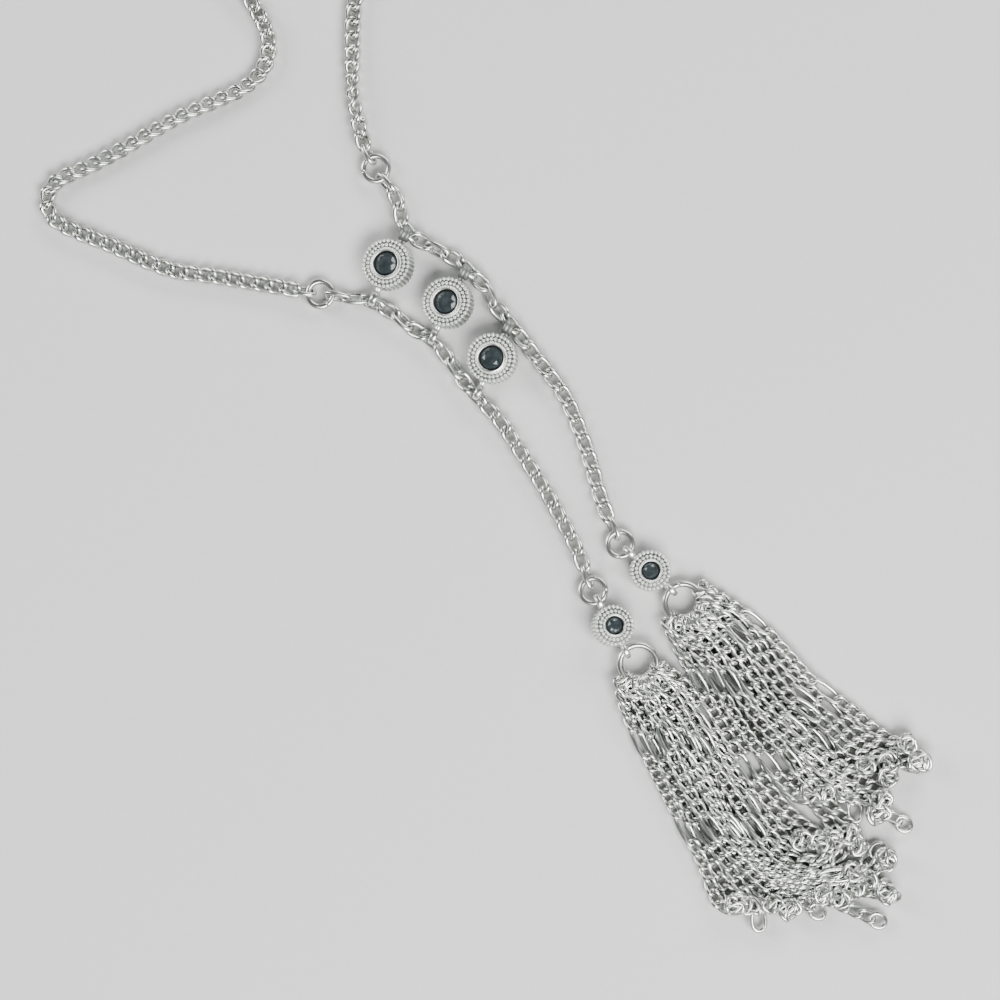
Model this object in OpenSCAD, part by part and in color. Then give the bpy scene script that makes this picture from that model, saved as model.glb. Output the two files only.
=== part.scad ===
// Tassel necklace laid out flat on a table: a curb chain round the neck, two drop chains held
// side by side by three round stone-set connectors, and on each drop chain a smaller connector,
// a ring and a tassel of fine chains. Z is up and the table is at z = 0.

/* [Chains] */
// Thickness of the chain wire
wire = 0.8; // [0.77:0.01:0.81]
// Free gap between two links that hook into each other
gap = 0.36; // [0.33:0.01:0.37]
// Length of one neck chain link along the chain, from joint to joint
neck_pitch = 2.86; // [2.85:0.01:2.87]
// Width of a neck chain link
neck_link_w = 3.25; // [3.2:0.05:3.4]
// Length of one drop chain link along the chain, from joint to joint
drop_pitch = 3.56; // [3.54:0.01:3.58]
// Width of a drop chain link
drop_link_w = 3.1; // [3.1:0.05:3.2]

/* [Rings] */
// Outside diameter of the rings that join the chains
ring_d = 6; // [5.9:0.05:6.1]
// Wire thickness of the rings that join the chains
ring_wire = 0.9; // [0.8:0.05:0.95]
// Outside diameter of a tassel's ring
tassel_ring_d = 8.6; // [8.5:0.05:8.7]
// Wire thickness of a tassel's ring
tassel_ring_wire = 1.25; // [1.1:0.05:1.25]

/* [Connectors] */
// Radius of the three upper connectors
upper_r = 5.1; // [5:0.05:5.2]
// Height of the three upper connectors
upper_h = 3.5; // [3.2:0.1:3.8]
// Radius of an upper connector's stone
upper_stone_r = 2.4; // [2.2:0.05:2.4]
// Radius of the two lower connectors
lower_r = 4.2; // [4.1:0.05:4.3]
// Height of the two lower connectors
lower_h = 3.1; // [2.9:0.1:3.3]
// Radius of a lower connector's stone
lower_stone_r = 1.75; // [1.6:0.05:1.8]

/* [Tassels] */
// Width of one lock, which is one strand of the tassel
lock_w = 2.9; // [2.6:0.1:3]
// Thickness of one lock
lock_h = 2; // [1.8:0.1:2.1]

/* [Hidden] */
$fn = 32;

silver = [0.78, 0.79, 0.78];
crystal = [0.45, 0.52, 0.55];

// Middle radius of each kind of ring
ring_bend = (ring_d - ring_wire) / 2;
tassel_bend = (tassel_ring_d - tassel_ring_wire) / 2;
// How far a link hangs back from the ring that it hooks into, beyond half the gap
hook_slack = 0.15;
// From a ring's centre to the joint of the link that hooks into it
ring_reach = ring_bend - ring_wire / 2 - gap / 2 - hook_slack;

// Links lie rolled to one side and the other in turn, so each crosses its neighbour squarely
link_roll = 45;
// The links that hook into a level ring stand more upright than that
neck_end_roll = 62;
drop_end_roll = 64;
neck_z = (neck_link_w - wire) / 2 * sin(link_roll) + wire / 2 + 0.02;
drop_z = (drop_link_w - wire) / 2 * sin(link_roll) + wire / 2 + 0.01;
ring_z = (neck_link_w - wire) / 2 * sin(neck_end_roll) + wire / 2 + 0.02;

// Small vector helpers
function unit(v) = v / norm(v);
function plan(v) = [v.x, v.y, 0];
function heading(a) = [cos(a), sin(a), 0];
function at_height(p, z) = [p.x, p.y, z];

// A smooth curve through hand-chosen points, in a number of short straight steps for each
function curve_point(p, i, t) =
    let (last = len(p) - 1)
    let (a = i == 0 ? 2 * p[0] - p[1] : p[i - 1])
    let (b = p[i])
    let (c = p[i + 1])
    let (d = i + 2 > last ? 2 * p[last] - p[last - 1] : p[i + 2])
    0.5 * (2 * b + (c - a) * t + (2 * a - 5 * b + 4 * c - d) * t * t
        + (3 * b - a - 3 * c + d) * t * t * t);
function smooth_curve(p, steps) = concat(
    [for (i = [0:len(p) - 2]) for (k = [0:steps - 1]) curve_point(p, i, k / steps)],
    [p[len(p) - 1]]);

// The place further along a curve that lies one step away in a straight line, and its segment
function next_joint(curve, from, i, step) =
    i < len(curve) - 2 && norm(curve[i + 1] - from) < step ? next_joint(curve, from, i + 1, step)
    : let (d = curve[i + 1] - curve[i], f = curve[i] - from)
      let (root = sqrt((f * d) * (f * d) - d * d * (f * f - step * step)))
      [curve[i] + d * (root - f * d) / (d * d), i];

// Joints of a chain of equal links laid along a curve
function joints_along(curve, step, count) = [
    for (k = 0, at = [curve[0], 0]; k <= count;
         k = k + 1, at = next_joint(curve, at[0], at[1], step))
        at[0]];

// Sideways shift of the inner joints of three links that span a given reach, where the middle
// link crosses over by so many times that shift
function sway(reach, outer, cross, low = 0, high = drop_pitch / 2, tries = 24) =
    let (h = (low + high) / 2)
    let (span = 2 * sqrt(outer * outer - h * h) + sqrt(drop_pitch * drop_pitch - pow(cross * h, 2)))
    tries == 0 ? h
    : span > reach ? sway(reach, outer, cross, h, high, tries - 1)
    : sway(reach, outer, cross, low, h, tries - 1);

// The joints between two or three links that span from a to b and take up their spare length:
// the first joint lies at its own height to the given side, and the next to the same side or
// to the other
function bridge(a, b, count, side, other, first_z) =
    let (along = unit(plan(b - a)), across = side * [-along.y, along.x, 0])
    let (reach = norm(plan(b - a)), rise = max(abs(a.z - drop_z), abs(b.z - drop_z)))
    let (outer = sqrt(drop_pitch * drop_pitch - rise * rise))
    let (h = count == 2
        ? sqrt(max(0, outer * outer - reach * reach / 4))
        : sway(reach, outer, other ? 2 : 0))
    let (run = sqrt(outer * outer - h * h))
    concat(
        [at_height(a + along * run + across * h, first_z)],
        count == 2 ? []
        : [at_height(b - along * run + (other ? -1 : 1) * across * h, drop_z)]);

module torus(bend, thick) {
    rotate_extrude() translate([bend, 0]) circle(d = thick);
}

// One oval link in the XY plane with its length along X
module link(pitch, width) {
    bend = (width - wire) / 2;
    straight = pitch + 2 * wire + gap - width;
    for (turn = [0, 180])
        rotate([0, 0, turn]) {
            translate([straight / 2, 0, 0])
                rotate([0, 0, -90])
                    rotate_extrude(angle = 180) translate([bend, 0]) circle(d = wire);
            translate([-straight / 2, bend, 0])
                rotate([0, 90, 0])
                    cylinder(d = wire, h = straight);
        }
}

// Lays what is given between two points, rolled about the line that joins them
module between(a, b, roll) {
    v = b - a;
    translate((a + b) / 2)
        rotate([roll, -atan2(v.z, norm([v.x, v.y])), atan2(v.y, v.x)])
            children();
}

// A run of links, where the first and the last stand more upright than the rest
module chain(joints, pitch, width, end_roll) {
    last = len(joints) - 2;
    for (i = [0:last]) {
        roll = i == 0 || i == last ? end_roll : link_roll;
        between(joints[i], joints[i + 1], i % 2 == 0 ? roll : -roll)
            link(pitch, width);
    }
}

// Upper connectors, one row each: place, direction of the line through its two loops, how far
// it leans, and the directions of the two drop chains where they pass through its loops
connector_rows = [
    // x, y, azimuth, lean, left chain, right chain
    [-19.8, -6.5, 64, 17, -24, -52],
    [-7.9, -14.1, 64, 16, -38, -46],
    [0.9, -25.15, 65, 10, -46, -52],
];
upper_loop_bend = 1.275;
upper_loop_at = 7.15;
upper_loop_rise = 0.9;
// From a loop's centre to the middle of the rolled link that it holds, outwards and down
held_link_off = 0.9;

function connector_z(row) = max(
    drop_z + held_link_off + 0.01,
    upper_loop_rise * cos(row[3]) + upper_r * sin(row[3]) + 0.02);

// Middle of the drop chain link that passes through a loop, on side -1 (left) or 1 (right)
function held_link(row, side) =
    [row[0], row[1], connector_z(row) - held_link_off]
    + side * (upper_loop_at + held_link_off) * heading(row[2]);
function held_joints(row, side) =
    let (mid = held_link(row, side), half = drop_pitch / 2 * heading(row[side < 0 ? 4 : 5]))
    [mid - half, mid + half];

// Hand-chosen places and routes, in millimetres
joining_left = [-33.75, -12, ring_z];
joining_right = [-22.6, 13.1, ring_z];

neck_left_route = [
    [-43.2, -10.4], [-54.6, -8.5], [-62.8, -7.4], [-69.4, -5], [-76, -2], [-81, -0.1],
    [-85, 1.6], [-87.6, 3.6], [-88.5, 6.5], [-87.5, 9.5], [-85, 11.4], [-79.6, 13.6],
    [-72.4, 17.4], [-62.2, 23.2], [-54.4, 26.6], [-49.2, 29], [-45.6, 32.2], [-44, 36.2],
    [-44.6, 41], [-48.2, 47.4], [-54.6, 57], [-62, 70], [-67.4, 86], [-68.2, 103],
    [-63.5, 120], [-52, 133.5],
];
neck_right_route = [
    [-25.2, 18.4], [-26.2, 23], [-27.2, 28], [-27.3, 37], [-26.8, 46.8], [-23.8, 55],
    [-16, 64], [-6.6, 74], [0.6, 87], [3.2, 104], [-0.2, 121], [-11, 134], [-28, 139.3],
    [-44, 137.4], [-56, 130], [-64, 119], [-68, 104],
];
neck_left_count = 72;
neck_right_count = 65;

drop_left_route = [
    [2.4, -37.6], [6.4, -43.8], [10.6, -50.2], [14.4, -57], [17.6, -63.2], [20.6, -70.8],
];
drop_right_route = [
    [6.8, -21.2], [10.6, -26.2], [15, -32], [17.8, -38.2], [20.2, -45], [22, -51.6],
    [24.6, -58.6], [27, -63],
];
drop_left_count = 12;
drop_right_count = 13;
// How far the last left link hangs back from its ring's wire
left_slack = 0.6;

// Joints of a neck chain: the first two and the last two are as high as the rings
function neck_joints(ring, route, count) =
    let (start = plan(ring) + ring_reach * unit([for (k = [0:2]) k == 2 ? 0 : route[0][k] - ring[k]]))
    let (flat = concat([start], [for (p = route) [p.x, p.y, 0]]))
    let (found = joints_along(smooth_curve(flat, 8), neck_pitch, count))
    [for (k = [0:count]) at_height(found[k], k < 2 || k > count - 2 ? ring_z : neck_z)];
neck_left = neck_joints(joining_left, neck_left_route, neck_left_count);
neck_right = neck_joints(joining_right, neck_right_route, neck_right_count);

// Joints of a drop chain: from the joining ring, past the three connectors, to its drop ring
function ladder_joints(ring, side, first_count) =
    let (held = [for (row = connector_rows) held_joints(row, side)])
    let (start = ring + ring_reach * unit(plan(held[0][0] - ring)))
    concat(
        [start], bridge(start, held[0][0], first_count, side, false, ring_z), held[0],
        bridge(held[0][1], held[1][0], 3, 1, true, drop_z), held[1],
        bridge(held[1][1], held[2][0], 3, 1, true, drop_z), held[2]);
function tail_joints(start, route, count) =
    let (curve = smooth_curve(concat([plan(start)], [for (p = route) [p.x, p.y, 0]]), 8))
    let (found = joints_along(curve, drop_pitch, count))
    [for (k = [1:count]) at_height(found[k], k > count - 2 ? ring_z : drop_z)];
function drop_joints(ring, side, first_count, route, count) =
    let (ladder = ladder_joints(ring, side, first_count))
    concat(ladder, tail_joints(ladder[len(ladder) - 1], route, count));
drop_left = drop_joints(joining_left, -1, 2, drop_left_route, drop_left_count);
drop_right = drop_joints(joining_right, 1, 3, drop_right_route, drop_right_count);

// Lower connectors hang from their drop rings, and the tassel rings hang from them
lower_loop_bend = 1.35;
lower_loop_at = 5.45;
lower_loop_rise = 1.3;
lower_loop_wire = 0.85;
lower_loop_room = lower_loop_bend + lower_loop_wire / 2 + 0.05;
// Direction from the drop ring through the connector, lean, and direction on to the tassel
lower_left = [-61.5, 14, -45];
lower_right = [-42, 3, -45];
function lower_z(row) = max(
    lower_loop_room, lower_loop_rise * cos(row[1]) + lower_r * sin(row[1]) + 0.02);
function chain_end(joints) = joints[len(joints) - 1];
function chain_end_heading(joints) = unit(plan(chain_end(joints) - joints[len(joints) - 2]));
function drop_ring_at(joints, slack) =
    chain_end(joints) + (ring_reach - slack) * chain_end_heading(joints);
function upper_hook(ring, row) = at_height(ring + ring_bend * heading(row[0]), lower_z(row));
function lower_at(ring, row) = upper_hook(ring, row) + lower_loop_at * heading(row[0]);
function lower_hook(ring, row) = upper_hook(ring, row) + 2 * lower_loop_at * heading(row[0]);
function tassel_ring_at(ring, row) =
    at_height(lower_hook(ring, row) + tassel_bend * heading(row[2]), tassel_z);
tassel_z = 2.1;
drop_ring_left_at = drop_ring_at(drop_left, left_slack);
drop_ring_right_at = drop_ring_at(drop_right, 0);

clasp_bend = 2.6;
clasp_wire = 1;
eye_bend = 1.5;
eye_wire = 0.8;
clasp_reach = clasp_bend - clasp_wire / 2 - gap / 2 - hook_slack;
eye_reach = eye_bend - eye_wire / 2 - gap / 2 - hook_slack;

// The sleeve by which a tassel hangs on its ring: its radius, and its room round the ring's wire
sleeve_r = 1.85;
sleeve_room = 0.3;
// From the ring's centre to the start of each lock, inside the sleeve's wall
lock_start = tassel_bend + 1.5;
lock_z = lock_h / 2 + 0.03;
// How far every second lock rises over its neighbours, and how much higher than the last one
// each lock lies, so that no two share a face
lock_lift = 1.7;
lock_step = 0.017;

// Each tassel: the directions between which it holds its ring, its two edges in rows from its
// ring down, and where each lock ends
left_hold = [220, 355];
left_rows = [
    // left x, left y, right x, right y
    [27, -94.2, 39.2, -91.4], [30, -101.2, 44.4, -100.4], [34, -108.8, 48.8, -108.2],
    [39, -118.6, 56, -118.6], [43, -126.2, 66, -125.8], [45.6, -133.6, 77.8, -126.4],
];
left_ends = [
    [49.4, -138.8], [51.4, -136], [54.6, -140.2], [58.2, -137.2], [61.6, -137.4],
    [65.2, -138.4], [70, -137.4], [74.6, -138.6], [80.8, -137.2], [76.6, -133.8],
    [81.2, -133.6], [80.4, -129.8], [82.4, -125.8],
];
right_hold = [227, 405];
right_rows = [
    [40.2, -85.6, 53.6, -78.4], [44, -91.8, 58.6, -84.2], [48, -99, 65.2, -90],
    [52.6, -107.4, 71.4, -94.4], [58.2, -115.4, 77.8, -99.6],
];
right_ends = [
    [63.2, -120.6], [67.2, -121.6], [72.4, -121.9], [76.4, -121], [71.6, -116.6],
    [75.2, -117.2], [80.4, -120.2], [84, -118.8], [81.4, -114], [76.8, -111.2],
    [82.2, -108.6], [88.2, -107.8], [86.4, -104],
];

// Path of one lock: from the sleeve, through its share of each row, to its end
function lock_path(centre, hold, rows, ends, k) =
    let (share = k / (len(ends) - 1), last = len(rows) + 1)
    let (start = plan(centre) + lock_start * heading(hold[0] + share * (hold[1] - hold[0])))
    let (flat = concat(
        [start],
        [for (r = rows) [r[0] + share * (r[2] - r[0]), r[1] + share * (r[3] - r[1]), 0]],
        [[ends[k].x, ends[k].y, 0]]))
    [for (i = [0:last])
        at_height(flat[i], lock_z + k * lock_step + (tassel_z - lock_z) * max(0, 1 - i / 2)
            + (k % 2) * lock_lift * sin(180 * i / last))];

// Round setting with a stone pocket, two rings of beads on its face, a fluted side, and a loop
// on each end of its X axis; the loops stay upright when the setting leans, and their axis lies
// rise above its base
module setting(radius, height, stone_r, rise, loop_at, loop_bend, loop_wire, flutes, lean) {
    flute = 0.12;
    step = 0.3;
    bead_d = 0.62;
    outer_beads = radius - 0.62;
    inner_beads = radius - 1.42;
    bezel = 0.45;
    stone_gap = 0.06;
    pocket = 1.2;
    seat = 0.5;
    top = height - rise;
    difference() {
        union() {
            translate([0, 0, -rise])
                linear_extrude(height - step)
                    polygon([
                        for (k = [0:4 * flutes - 1])
                            (radius - flute * (k % 4 == 0 ? 1 : k % 4 == 2 ? 0 : 0.35))
                            * [cos(90 * k / flutes), sin(90 * k / flutes)]]);
            translate([0, 0, top - step - 0.01])
                cylinder(r = radius - 0.25, h = step + 0.01);
            for (k = [0:39])
                rotate([0, 0, 9 * k]) translate([outer_beads, 0, top]) sphere(d = bead_d);
            for (k = [0:29])
                rotate([0, 0, 12 * k]) translate([inner_beads, 0, top + 0.08]) sphere(d = bead_d);
            translate([0, 0, top - 0.1])
                cylinder(r = stone_r + bezel, h = bezel);
        }
        translate([0, 0, top - pocket])
            cylinder(r = stone_r + stone_gap, h = 2);
        translate([0, 0, top - pocket - 0.8])
            cylinder(r = stone_r - seat, h = 1);
    }
    for (turn = [0, 180])
        rotate([0, 0, turn]) {
            translate([loop_at, 0, 0])
                rotate([90 + (turn == 0 ? lean : -lean), 0, 0])
                    torus(loop_bend, loop_wire);
            translate([radius - 0.5, 0, 0])
                rotate([0, 90, 0])
                    cylinder(d = loop_wire * 1.2, h = loop_at - loop_bend - radius + 0.5);
        }
}

// Round cut stone with an eight-sided table, a crown of facets and a shallow pavilion
module cut_stone(radius, top) {
    crown = radius * 0.3;
    translate([0, 0, top]) {
        hull() {
            translate([0, 0, crown]) linear_extrude(0.01) circle(r = radius * 0.56, $fn = 8);
            linear_extrude(0.12) rotate(11.25) circle(r = radius, $fn = 16);
        }
        hull() {
            linear_extrude(0.01) rotate(11.25) circle(r = radius, $fn = 16);
            translate([0, 0, -0.85]) linear_extrude(0.01) circle(r = radius * 0.3, $fn = 8);
        }
    }
}

module upper_place(row) {
    translate([row[0], row[1], connector_z(row)])
        rotate([0, 0, row[2]])
            rotate([-row[3], 0, 0])
                children();
}

module lower_place(ring, row) {
    translate(lower_at(ring, row))
        rotate([0, 0, row[0]])
            rotate([-row[1], 0, 0])
                children();
}

module upper_connector(k) {
    color(silver)
        upper_place(connector_rows[k])
            setting(upper_r, upper_h, upper_stone_r, upper_loop_rise, upper_loop_at,
                upper_loop_bend, wire, 40, connector_rows[k][3]);
}

module upper_stone(k) {
    color(crystal)
        upper_place(connector_rows[k])
            cut_stone(upper_stone_r, upper_h - upper_loop_rise - 0.2);
}

module lower_connector(ring, row) {
    color(silver)
        lower_place(ring, row)
            setting(lower_r, lower_h, lower_stone_r, lower_loop_rise, lower_loop_at,
                lower_loop_bend, lower_loop_wire, 34, row[1]);
}

module lower_stone(ring, row) {
    color(crystal)
        lower_place(ring, row)
            cut_stone(lower_stone_r, lower_h - lower_loop_rise - 0.2);
}

module joining_ring(at) {
    color(silver)
        translate(at)
            torus(ring_bend, ring_wire);
}

// A drop ring reaches from the last link's height to the height of the connector's loop
module drop_ring(at, row) {
    rise = lower_z(row) - ring_z;
    color(silver)
        translate(at_height(at, (lower_z(row) + ring_z) / 2))
            rotate([0, -asin(rise / (2 * ring_bend)), row[0]])
                torus(ring_bend, ring_wire);
}

// A tassel ring slopes down from the connector's loop to the tassel
module tassel_ring_place(ring, row) {
    rise = lower_z(row) - tassel_z;
    translate(at_height(tassel_ring_at(ring, row), (lower_z(row) + tassel_z) / 2))
        rotate([0, asin(rise / (2 * tassel_bend)), row[2]])
            children();
}

module tassel_ring(ring, row) {
    color(silver)
        tassel_ring_place(ring, row)
            torus(tassel_bend, tassel_ring_wire);
}

module neck_chain_left() {
    color(silver) chain(neck_left, neck_pitch, neck_link_w, neck_end_roll);
}

module neck_chain_right() {
    color(silver) chain(neck_right, neck_pitch, neck_link_w, neck_end_roll);
}

module drop_chain_left() {
    color(silver) chain(drop_left, drop_pitch, drop_link_w, drop_end_roll);
}

module drop_chain_right() {
    color(silver) chain(drop_right, drop_pitch, drop_link_w, drop_end_roll);
}

// Plain spring-ring shape: a ring on the right chain's last link, and an eye on the left one's
module clasp() {
    from = chain_end(neck_right);
    to = chain_end(neck_left);
    along = unit(to - from);
    spare = norm(to - from) - clasp_reach - clasp_bend - eye_bend - eye_reach;
    middle = from + (clasp_reach + spare / 2) * along;
    color(silver) {
        translate(middle)
            torus(clasp_bend, clasp_wire);
        translate(middle + (clasp_bend + eye_bend) * along)
            torus(eye_bend, eye_wire);
    }
}

// Corners of a lock's flat six-sided section, square to its path
function lock_corners(path, i) =
    let (last = len(path) - 1)
    let (ahead = unit(plan(path[min(i + 1, last)] - path[max(i - 1, 0)])))
    let (across = [-ahead.y, ahead.x, 0])
    let (size = i == 0 ? 0.35 : i == last ? 0.55 : 1)
    [for (corner = [[1, 0], [0.5, 1], [-0.5, 1], [-1, 0], [-0.5, -1], [0.5, -1]])
        path[i] + size * (corner.x * lock_w / 2 * across + [0, 0, corner.y * lock_h / 2])];

// One lock: its sections joined into a closed skin
module lock(path) {
    last = len(path) - 1;
    polyhedron(
        points = [for (i = [0:last]) each lock_corners(path, i)],
        faces = concat(
            [[for (j = [0:5]) j]],
            [for (i = [0:last - 1]) for (j = [0:5]) each
                let (a = 6 * i + j, b = 6 * i + (j + 1) % 6)
                [[a, a + 6, b + 6], [a, b + 6, b]]],
            [[for (j = [5:-1:0]) 6 * last + j]]));
}

// Places along a lock between which the backing runs, from near the sleeve to near the end
function backing_line(path) =
    let (last = len(path) - 1)
    concat(
        [(2 * path[0] + path[1]) / 3],
        [for (i = [1:last - 1]) path[i]],
        [(path[last - 1] + path[last]) / 2]);

// A post of the backing, from just under a lower lock's middle to just over the given place
module backing_post(top) {
    overlap = 0.17;
    post_d = 1.6;
    translate(at_height(top, lock_z - overlap))
        cylinder(d = post_d, h = top.z - lock_z + 2 * overlap, $fn = 6);
}

// A strip of the backing that fills the tassel's inside between two upper locks
module backing(line_a, line_b) {
    for (i = [0:len(line_a) - 2])
        hull() {
            backing_post(line_a[i]);
            backing_post(line_a[i + 1]);
            backing_post(line_b[i]);
            backing_post(line_b[i + 1]);
        }
}

// A tassel: a sleeve that turns freely on its ring, with a row of locks fused to it
module tassel(ring, row, hold, rows, ends) {
    centre = tassel_ring_at(ring, row);
    color(silver) {
        tassel_ring_place(ring, row)
            rotate([0, 0, hold[0] - row[2]])
                rotate_extrude(angle = hold[1] - hold[0])
                    translate([tassel_bend, 0])
                        difference() {
                            circle(r = sleeve_r);
                            circle(r = tassel_ring_wire / 2 + sleeve_room);
                        }
        for (k = [1:2:len(ends) - 4])
            backing(
                backing_line(lock_path(centre, hold, rows, ends, k)),
                backing_line(lock_path(centre, hold, rows, ends, k + 2)));
        for (k = [0:len(ends) - 1])
            lock(lock_path(centre, hold, rows, ends, k));
    }
}

module tassel_left() {
    tassel(drop_ring_left_at, lower_left, left_hold, left_rows, left_ends);
}

module tassel_right() {
    tassel(drop_ring_right_at, lower_right, right_hold, right_rows, right_ends);
}

neck_chain_left();
neck_chain_right();
clasp();
joining_ring(joining_left);  // joining_ring_left
joining_ring(joining_right);  // joining_ring_right
drop_chain_left();
drop_chain_right();
upper_connector(0);  // connector_1
upper_connector(1);  // connector_2
upper_connector(2);  // connector_3
upper_stone(0);  // stone_1
upper_stone(1);  // stone_2
upper_stone(2);  // stone_3
drop_ring(drop_ring_left_at, lower_left);  // drop_ring_left
drop_ring(drop_ring_right_at, lower_right);  // drop_ring_right
lower_connector(drop_ring_left_at, lower_left);  // drop_connector_left
lower_connector(drop_ring_right_at, lower_right);  // drop_connector_right
lower_stone(drop_ring_left_at, lower_left);  // drop_stone_left
lower_stone(drop_ring_right_at, lower_right);  // drop_stone_right
tassel_ring(drop_ring_left_at, lower_left);  // tassel_ring_left
tassel_ring(drop_ring_right_at, lower_right);  // tassel_ring_right
tassel_left();
tassel_right();
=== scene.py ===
import math
import random

import bmesh
import bpy
import numpy as np
from mathutils import Matrix, Vector


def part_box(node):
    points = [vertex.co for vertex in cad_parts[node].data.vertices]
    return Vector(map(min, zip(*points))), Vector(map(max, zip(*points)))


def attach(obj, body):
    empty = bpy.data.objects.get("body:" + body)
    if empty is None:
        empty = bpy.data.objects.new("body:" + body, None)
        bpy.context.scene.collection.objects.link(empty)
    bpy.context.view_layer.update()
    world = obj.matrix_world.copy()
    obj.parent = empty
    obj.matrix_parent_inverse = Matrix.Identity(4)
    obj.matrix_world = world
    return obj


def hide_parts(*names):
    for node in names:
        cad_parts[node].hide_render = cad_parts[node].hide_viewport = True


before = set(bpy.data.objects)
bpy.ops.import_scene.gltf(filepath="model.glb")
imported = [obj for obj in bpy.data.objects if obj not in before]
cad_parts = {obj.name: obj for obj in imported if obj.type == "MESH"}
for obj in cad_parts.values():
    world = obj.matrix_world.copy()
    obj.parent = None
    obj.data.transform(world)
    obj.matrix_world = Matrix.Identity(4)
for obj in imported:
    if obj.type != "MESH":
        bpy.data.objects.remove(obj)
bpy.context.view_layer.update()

# The table and the light: a plain table top, covered with pale matt paper that is laid down
# flat. It stands under three soft studio lamps and is seen from straight above through a
# long lens.

TABLE_REACH = 3.0
table = bpy.data.meshes.new("table_top")
table.from_pydata(
    [(x * TABLE_REACH, y * TABLE_REACH, 0) for x, y in ((-1, -1), (1, -1), (1, 1), (-1, 1))],
    [], [(0, 1, 2, 3)])
table_top = bpy.data.objects.new("table_top", table)
bpy.context.scene.collection.objects.link(table_top)

LENS = 100
SENSOR_WIDTH = 36
# The camera sees this width, in metres, round this middle, at the height of the chains
VIEW_WIDTH = 0.2
VIEW_MIDDLE = (0.0022, -0.0532)
CHAIN_HEIGHT = 0.0015

camera = bpy.data.objects.new("camera", bpy.data.cameras.new("camera"))
camera.data.lens = LENS
camera.data.sensor_width = SENSOR_WIDTH
camera.data.clip_start = 0.01
camera.location = (*VIEW_MIDDLE, CHAIN_HEIGHT + VIEW_WIDTH * LENS / SENSOR_WIDTH)
bpy.context.scene.collection.objects.link(camera)
bpy.context.scene.camera = camera


def soft_lamp(name, place, aim, size, power):
    lamp = bpy.data.objects.new(name, bpy.data.lights.new(name, "AREA"))
    lamp.data.shape = "RECTANGLE"
    lamp.data.size, lamp.data.size_y = size
    lamp.data.energy = power
    lamp.location = place
    lamp.rotation_euler = (Vector(aim) - Vector(place)).to_track_quat("-Z", "Y").to_euler()
    bpy.context.scene.collection.objects.link(lamp)


LAMPS_AIM = (0.01, -0.05, 0)
LAMPS = [
    # name, place, width and height, power
    ("lamp_front", (0.32, -0.56, 0.78), (0.95, 0.55), 9),
    ("lamp_left", (-0.85, 0.30, 0.50), (0.4, 0.75), 4),
    ("lamp_back", (0.45, 0.80, 0.50), (0.85, 0.3), 3.6),
]
for name, place, size, power in LAMPS:
    soft_lamp(name, place, LAMPS_AIM, size, power)

world = bpy.data.worlds.new("studio")
bpy.context.scene.world = world
world.use_nodes = True
world.node_tree.nodes["Background"].inputs["Color"].default_value = (0.82, 0.86, 0.9, 1)
world.node_tree.nodes["Background"].inputs["Strength"].default_value = 0.13
bpy.context.scene.view_settings.look = "AgX - High Contrast"


class Shade:
    """A socket in a node tree. Sums on it add Math nodes, and node() adds any other node."""

    def __init__(self, tree, socket=None):
        self.tree = tree
        self.socket = socket

    def node(self, kind, settings, inputs, output=0):
        made = self.tree.nodes.new(kind)
        for name, value in settings.items():
            setattr(made, name, value)
        for name, value in inputs.items():
            if isinstance(value, Shade):
                self.tree.links.new(value.socket, made.inputs[name])
            else:
                made.inputs[name].default_value = value
        return Shade(self.tree, made.outputs[output] if made.outputs else None)

    def maths(self, operation, first, second):
        return self.node("ShaderNodeMath", {"operation": operation}, {0: first, 1: second})

    def __add__(self, other):
        return self.maths("ADD", self, other)

    def __sub__(self, other):
        return self.maths("SUBTRACT", self, other)

    def __rsub__(self, other):
        return self.maths("SUBTRACT", other, self)

    def __mul__(self, other):
        return self.maths("MULTIPLY", self, other)

    __radd__ = __add__
    __rmul__ = __mul__


# The Mix node's sockets for two colours, and for the mixed one
FIRST_COLOUR, SECOND_COLOUR, MIXED_COLOUR = 6, 7, 2


def mixed(share, first, second):
    """A colour between two others, which is the second one where the share is 1."""
    return share.node(
        "ShaderNodeMix", {"data_type": "RGBA"},
        {"Factor": share, FIRST_COLOUR: first, SECOND_COLOUR: second}, MIXED_COLOUR)


def new_material(name):
    material = bpy.data.materials.new(name)
    material.use_nodes = True
    material.node_tree.nodes.clear()
    return material, Shade(material.node_tree)


def finish_material(start, inputs):
    surface = start.node("ShaderNodeBsdfPrincipled", {}, inputs)
    start.node("ShaderNodeOutputMaterial", {}, {"Surface": surface})


paper, start = new_material("table_paper")
place = start.node("ShaderNodeTexCoord", {}, {}, "Object")
fleck = start.node("ShaderNodeTexNoise", {}, {"Vector": place, "Scale": 900.0, "Detail": 4.0})
finish_material(start, {
    "Base Color": mixed(fleck, (0.78, 0.78, 0.77, 1), (0.82, 0.82, 0.81, 1)),
    "Roughness": 0.9,
})
table.materials.append(paper)

# The neck chain: two runs of oval silver-tone links, each bent from wire and twisted, so that
# they hook together and the chain lies flat. Its end links stand on edge through a joining
# ring.

# Shapes are drawn in millimetres, and each piece is scaled to metres
MM = 0.001
# Dark tone of the hollows: partly tarnish, partly painted shade where less light reaches
TARNISH_AND_SHADE = (0.17, 0.18, 0.165, 1)


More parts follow.
